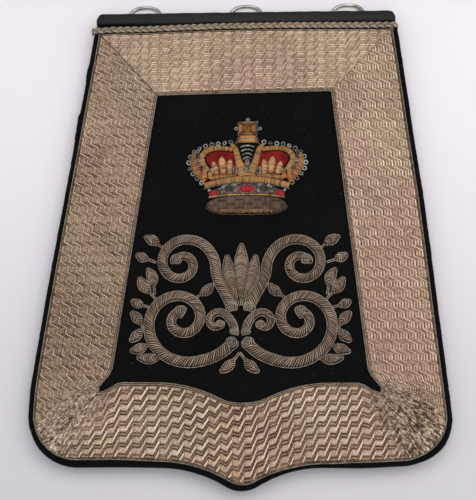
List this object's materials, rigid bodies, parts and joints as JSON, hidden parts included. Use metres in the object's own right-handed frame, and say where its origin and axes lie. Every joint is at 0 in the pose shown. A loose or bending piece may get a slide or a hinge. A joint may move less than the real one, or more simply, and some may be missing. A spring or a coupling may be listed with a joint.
{
  "type": "sabretache",
  "caption": "Flat military dress pouch with a tapered pointed velvet face, metal lace border, embroidered crown and scrollwork, and hanging rings at the top.",
  "frame": {"origin": "middle of the length and width, on the flat back of the pocket that it lies on", "axes": "+X across the face to the viewer's right, +Y up the face toward the hanging rings, +Z out of the face"},
  "size_m": [0.2892, 0.3676, 0.0166],
  "materials": {
    "black_leather": "softly shined, creased",
    "black_velvet": "cut pile, worn at the edges",
    "silver_lace": "tarnished woven metal lace",
    "silver_cord": "tarnished metal cord and bullion",
    "nickel": "aged polish",
    "gold_thread": "gilt thread over padding",
    "pearl": "coiled bright silver wire beads",
    "red_velvet": "short pile"
  },
  "bodies": {
    "body": {"crown_arch_left": "gold_thread", "crown_arch_right": "gold_thread", "crown_band": "gold_thread", "crown_cap_left": "red_velvet", "crown_cap_right": "red_velvet", "crown_centre": "gold_thread", "crown_circlet": "silver_cord", "crown_cross": "gold_thread", "crown_ermine": "silver_cord", "crown_leaves_left": "gold_thread", "crown_leaves_right": "gold_thread", "crown_orb": "gold_thread", "crown_pearls_left": "pearl", "crown_pearls_right": "pearl", "crown_side_left": "gold_thread", "crown_side_right": "gold_thread", "face_panel": "black_velvet", "lace_border": "silver_lace", "lace_top": "silver_lace", "leaf_bract_left": "silver_cord", "leaf_bract_right": "silver_cord", "leaf_brow_left": "silver_cord", "leaf_brow_right": "silver_cord", "leaf_cheek_left": "silver_cord", "leaf_cheek_right": "silver_cord", "leaf_collar_left": "silver_cord", "leaf_collar_right": "silver_cord", "leaf_crest": "silver_cord", "leaf_fork_left": "silver_cord", "leaf_fork_right": "silver_cord", "leaf_haunch_left": "silver_cord", "leaf_haunch_right": "silver_cord", "leaf_heel_left": "silver_cord", "leaf_heel_right": "silver_cord", "leaf_hip_left": "silver_cord", "leaf_hip_right": "silver_cord", "leaf_plume_left": "silver_cord", "leaf_plume_right": "silver_cord", "leaf_root_left": "silver_cord", "leaf_root_right": "silver_cord", "leaf_shoulder_left": "silver_cord", "leaf_shoulder_right": "silver_cord", "leaf_side_left": "silver_cord", "leaf_side_right": "silver_cord", "plaited_braid": "silver_cord", "pocket": "black_leather", "ring_loop_left": "black_leather", "ring_loop_middle": "black_leather", "ring_loop_right": "black_leather", "scroll_inner_left": "silver_cord", "scroll_inner_right": "silver_cord", "scroll_main_left": "silver_cord", "scroll_main_right": "silver_cord", "scroll_upper_left": "silver_cord", "scroll_upper_right": "silver_cord", "top_binding": "black_leather"},
    "ring_left": {"ring_left": "nickel"},
    "ring_middle": {"ring_middle": "nickel"},
    "ring_right": {"ring_right": "nickel"}
  },
  "joints": [
    {"name": "ring_left_swing", "type": "hinge", "parent": "body", "child": "ring_left", "pos_m": [-0.0766, 0.16463, 0.00405], "axis": [1, 0, 0], "range_deg": [-115, 21]},
    {"name": "ring_middle_swing", "type": "hinge", "parent": "body", "child": "ring_middle", "pos_m": [0, 0.16463, 0.00405], "axis": [1, 0, 0], "range_deg": [-115, 21]},
    {"name": "ring_right_swing", "type": "hinge", "parent": "body", "child": "ring_right", "pos_m": [0.0766, 0.16463, 0.00405], "axis": [1, 0, 0], "range_deg": [-115, 21]}
  ]
}
